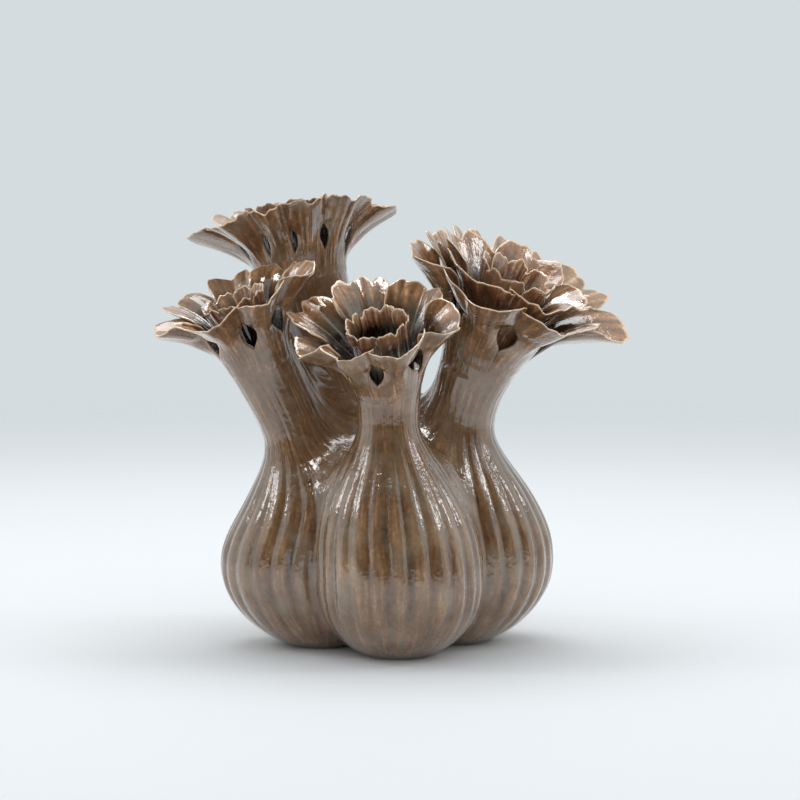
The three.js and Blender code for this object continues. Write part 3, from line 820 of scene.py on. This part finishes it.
def colour(hex_code):
    """An sRGB hex colour as the linear colour that a shader wants."""
    channels = [int(hex_code[i : i + 2], 16) / 255 for i in (1, 3, 5)]
    linear = [c / 12.92 if c <= 0.04045 else ((c + 0.055) / 1.055) ** 2.4 for c in channels]
    return (*linear, 1.0)


def add_node(tree, kind, settings=None, inputs=None):
    """Adds a node. An input's value is a plain value, an output to link, or a node whose first
    output is linked."""
    node = tree.nodes.new(kind)
    for name, value in (settings or {}).items():
        setattr(node, name, value)
    for name, value in (inputs or {}).items():
        if isinstance(value, bpy.types.Node):
            value = value.outputs[0]
        if isinstance(value, bpy.types.NodeSocket):
            tree.links.new(value, node.inputs[name])
        else:
            node.inputs[name].default_value = value
    return node


# The glaze's patterns: how large each is, in millimetres, and how finely it breaks up
GLAZE_PATTERNS = {
    "clouds": (14.0, 3.0),
    "mottling": (2.5, 4.0),
    "bloom": (22.0, 5.0),
    "waves": (4.5, 2.0),
}
STREAK_WIDTH = 3.0
STREAK_LENGTH = 25.0
STREAK_DETAIL = 3.0
STREAK_THICKNESS = 1.0  # how far each pattern goes towards the glaze's thickness
CLOUD_THICKNESS = 0.45
MOTTLE_THICKNESS = 0.35
MEAN_THICKNESS = 0.88
RIDGE_AT = 0.25
BODY_AT = 0.5
POOL_AND_SHADE_AT = 0.95
BLOOM_COLOUR = "#9c8e78"
BLOOM_STRENGTH = 0.55
BLOOM_PATCHES = (0.72, 1.0)
BLOOM_IN_STREAKS = 0.5
GLOSSY = 0.1
DULLED = 0.24
GLAZE_IOR = 1.6
WAVE_HEIGHT = 0.3
MOTTLE_HEIGHT = 0.35  # of the waves' height


def iron_glaze(name, edge, ridge, body, pool_and_shade):
    """Glossy iron glaze, dipped and fired: brown where it lies thick, darker where it pools, and tan
    where it breaks over a thin edge or a ridge. Its darkest colour also stands for painted shade, in
    the flowers' middles and throats."""
    material = bpy.data.materials.new(name)
    material.use_nodes = True
    tree = material.node_tree
    tree.nodes.clear()
    depth = add_node(tree, "ShaderNodeAttribute", {"attribute_name": "glaze_depth"}).outputs["Fac"]
    run = add_node(tree, "ShaderNodeAttribute", {"attribute_name": "glaze_run"}).outputs["Vector"]
    place = add_node(tree, "ShaderNodeTexCoord").outputs["Object"]
    patterns = {}
    for pattern, (size, detail) in GLAZE_PATTERNS.items():
        patterns[pattern] = add_node(tree, "ShaderNodeTexNoise", inputs={
            "Vector": place, "Scale": 1 / (size * MM), "Detail": detail})
    # Streaks ran down the pot while the glaze was wet.
    stretched = add_node(tree, "ShaderNodeVectorMath", {"operation": "MULTIPLY"}, {
        0: run, 1: (1 / STREAK_WIDTH, 1 / STREAK_LENGTH, 1.0)})
    streaks = add_node(tree, "ShaderNodeTexNoise", inputs={
        "Vector": stretched, "Scale": 1.0, "Detail": STREAK_DETAIL})

    # The glaze lies thicker or thinner by all of these.
    thickness = depth
    for pattern, weight in ((streaks, STREAK_THICKNESS), (patterns["clouds"], CLOUD_THICKNESS),
                            (patterns["mottling"], MOTTLE_THICKNESS)):
        thickness = add_node(tree, "ShaderNodeMath", {"operation": "MULTIPLY_ADD"}, {
            0: pattern, 1: weight, 2: thickness})
    thickness = add_node(tree, "ShaderNodeMath", {"operation": "SUBTRACT"}, {
        0: thickness, 1: MEAN_THICKNESS})
    ramp = add_node(tree, "ShaderNodeValToRGB", inputs={"Fac": thickness})
    stops = ramp.color_ramp.elements
    for stop, hex_code in ((RIDGE_AT, ridge), (BODY_AT, body), (POOL_AND_SHADE_AT, pool_and_shade)):
        stops.new(stop).color = colour(hex_code)
    stops[0].color = colour(edge)
    stops[-1].color = colour(pool_and_shade)

    # A grey bloom lies over the glaze in patches, and dulls its gloss.
    patches = add_node(tree, "ShaderNodeMath", {"operation": "MULTIPLY_ADD"}, {
        0: streaks, 1: BLOOM_IN_STREAKS, 2: patterns["bloom"]})
    thin, thick = BLOOM_PATCHES
    bloom = add_node(tree, "ShaderNodeMapRange", inputs={
        "Value": patches, "From Min": thin, "From Max": thick, "To Min": 0.0, "To Max": BLOOM_STRENGTH})
    coloured = add_node(tree, "ShaderNodeMix", {"data_type": "RGBA"}, {
        "Factor": bloom, 6: ramp, 7: colour(BLOOM_COLOUR)})
    roughness = add_node(tree, "ShaderNodeMapRange", inputs={
        "Value": bloom, "From Min": 0.0, "From Max": BLOOM_STRENGTH, "To Min": GLOSSY, "To Max": DULLED})

    # The surface is a little wavy, as a thick glaze over hand-worked clay is.
    height = streaks
    for pattern, weight in ((patterns["waves"], 1.0), (patterns["mottling"], MOTTLE_HEIGHT)):
        height = add_node(tree, "ShaderNodeMath", {"operation": "MULTIPLY_ADD"}, {
            0: pattern, 1: weight, 2: height})
    wavy = add_node(tree, "ShaderNodeBump", inputs={
        "Height": height, "Strength": 1.0, "Distance": WAVE_HEIGHT * MM})
    shader = add_node(tree, "ShaderNodeBsdfPrincipled", inputs={
        "Base Color": coloured.outputs[2],
        "Roughness": roughness,
        "IOR": GLAZE_IOR,
        "Normal": wavy,
        "Coat Weight": 1.0,
        "Coat Roughness": 0.03,
        "Coat IOR": GLAZE_IOR,
        "Coat Normal": wavy,
    })
    add_node(tree, "ShaderNodeOutputMaterial", inputs={"Surface": shader})
    return material


# The darkest colours of the petal and cup glazes, near black for the cup, are also the painted shade in the
# flowers' middles and throats.
gourd_glaze = iron_glaze("gourd_iron_glaze", "#cca67c", "#9c7b5b", "#79593c", "#302013")
petal_glaze = iron_glaze("petal_iron_glaze", "#f4d6b4", "#b98a63", "#7d5b3d", "#2c1c10")
cup_glaze = iron_glaze("cup_iron_glaze", "#f0d6b2", "#b68866", "#785239", "#150c08")

for gourd in GOURDS:
    gourd.seams = [seam_between(gourd, other) for other in GOURDS if other is not gourd]
for gourd in GOURDS:
    make_gourd(gourd, gourd_glaze)
    for place, made in enumerate(gourd.tiers):
        material, slot = (petal_glaze, "petal_glaze") if place == 0 else (cup_glaze, "cup_glaze")
        for index in range(len(made.petals)):
            make_petal(gourd, made, tier_seat(gourd, place), index, material)


def plain_material(name, hex_code, roughness):
    """A matt surface of one colour. Returns the material and its shader."""
    material = bpy.data.materials.new(name)
    material.use_nodes = True
    shader = material.node_tree.nodes["Principled BSDF"]
    shader.inputs["Base Color"].default_value = colour(hex_code)
    shader.inputs["Roughness"].default_value = roughness
    return material, shader


def make_floor():
    """A pale painted floor, matt, that fades into the backdrop between two distances in metres."""
    size = 8.0
    near = 0.9
    far = 2.6
    corners = [(-size, -size, 0), (size, -size, 0), (size, size, 0), (-size, size, 0)]
    mesh = bpy.data.meshes.new("floor")
    mesh.from_pydata(corners, [], [(0, 1, 2, 3)])
    floor = put_in_scene("floor", mesh)
    material, shader = plain_material("pale_floor", "#eef3f6", 0.7)
    shader.inputs["Specular IOR Level"].default_value = 0.2
    tree = material.node_tree
    place = add_node(tree, "ShaderNodeTexCoord").outputs["Object"]
    distance = add_node(tree, "ShaderNodeVectorMath", {"operation": "LENGTH"}, {0: place})
    fade = add_node(tree, "ShaderNodeMapRange", {"interpolation_type": "SMOOTHSTEP"}, {
        "Value": distance.outputs["Value"], "From Min": near, "From Max": far})
    clear = add_node(tree, "ShaderNodeBsdfTransparent")
    mixed = add_node(tree, "ShaderNodeMixShader", inputs={0: fade, 1: shader, 2: clear})
    tree.links.new(mixed.outputs["Shader"], tree.nodes["Material Output"].inputs["Surface"])
    floor.data.materials.append(material)


def make_dark_room():
    """The unlit side of the studio: a dark curved screen that only reflections show."""
    # Its outline in metres, from the floor up and in over the top, is turned about the vase.
    outline = ((2.6, 0.0), (2.6, 2.2), (1.56, 3.1), (0.05, 3.3))
    columns = 24
    half_turn = math.radians(58)
    middle = -math.pi / 2
    points = []
    for radius, z in outline:
        for i in range(columns + 1):
            a = middle + mix(-half_turn, half_turn, i / columns)
            points.append((radius * math.cos(a), radius * math.sin(a), z))
    grid = np.arange(len(points)).reshape(len(outline), columns + 1)
    mesh = bpy.data.meshes.new("dark_room")
    mesh.from_pydata(points, [], quads_of(grid).tolist())
    screen = put_in_scene("dark_room", mesh)
    material, _ = plain_material("dark_room", "#3a342e", 1.0)
    screen.data.materials.append(material)
    screen.visible_camera = False
    screen.visible_diffuse = False
    screen.visible_shadow = False


def make_world():
    """Plain soft light from all round, and a pale backdrop behind the vase."""
    world = bpy.data.worlds.new("studio")
    bpy.context.scene.world = world
    world.use_nodes = True
    tree = world.node_tree
    light = tree.nodes["Background"]
    light.inputs["Color"].default_value = colour("#f6f7f8")
    light.inputs["Strength"].default_value = 0.8
    path = add_node(tree, "ShaderNodeLightPath")
    shown = path.outputs["Is Camera Ray"]
    for ray in ("Is Glossy Ray", "Is Transmission Ray"):
        shown = add_node(tree, "ShaderNodeMath", {"operation": "MAXIMUM"}, {0: shown, 1: path.outputs[ray]})
    backdrop = add_node(tree, "ShaderNodeBackground", inputs={"Color": colour("#d4dcdf"), "Strength": 1.0})
    mixed = add_node(tree, "ShaderNodeMixShader", inputs={0: shown, 1: light, 2: backdrop})
    tree.links.new(mixed.outputs["Shader"], tree.nodes["World Output"].inputs["Surface"])


VASE_MIDDLE = Vector((0, 0, 0.15))


def add_softbox(name, place, size, watts, lights=True):
    """A rectangular lamp that faces the vase. Its place and size are in metres. One that doesn't
    light only shows as a sheen in the glaze."""
    lamp = bpy.data.lights.new(name, "AREA")
    lamp.shape = "RECTANGLE"
    lamp.size, lamp.size_y = size
    lamp.energy = watts
    light = put_in_scene(name, lamp)
    light.location = place
    light.rotation_euler = (VASE_MIDDLE - Vector(place)).to_track_quat("-Z", "Y").to_euler()
    light.visible_diffuse = lights


def make_camera():
    """A long lens, nearly level with the top of the vase and tipped down a little."""
    place = (5.6, -1662.5, 276.8)
    tipped_down = math.radians(4)
    camera = bpy.data.cameras.new("camera")
    camera.lens = 113.2
    camera.sensor_width = 36.0
    holder = put_in_scene("camera", camera)
    holder.location = [x * MM for x in place]
    holder.rotation_euler = (math.pi / 2 - tipped_down, 0, 0)
    bpy.context.scene.camera = holder


make_floor()
make_dark_room()
make_world()
add_softbox("top_softbox", place=(-0.05, 0.4, 1.5), size=(1.0, 0.8), watts=7.5)
add_softbox("sheen_softbox", place=(-0.25, -0.2, 1.4), size=(0.5, 0.5), watts=9, lights=False)
add_softbox("left_softbox", place=(-1.2, 0.0, 1.0), size=(0.2, 0.4), watts=1.5)
add_softbox("right_softbox", place=(1.2, 0.0, 1.0), size=(0.2, 0.4), watts=1.5)
make_camera()
bpy.context.scene.view_settings.view_transform = "Standard"
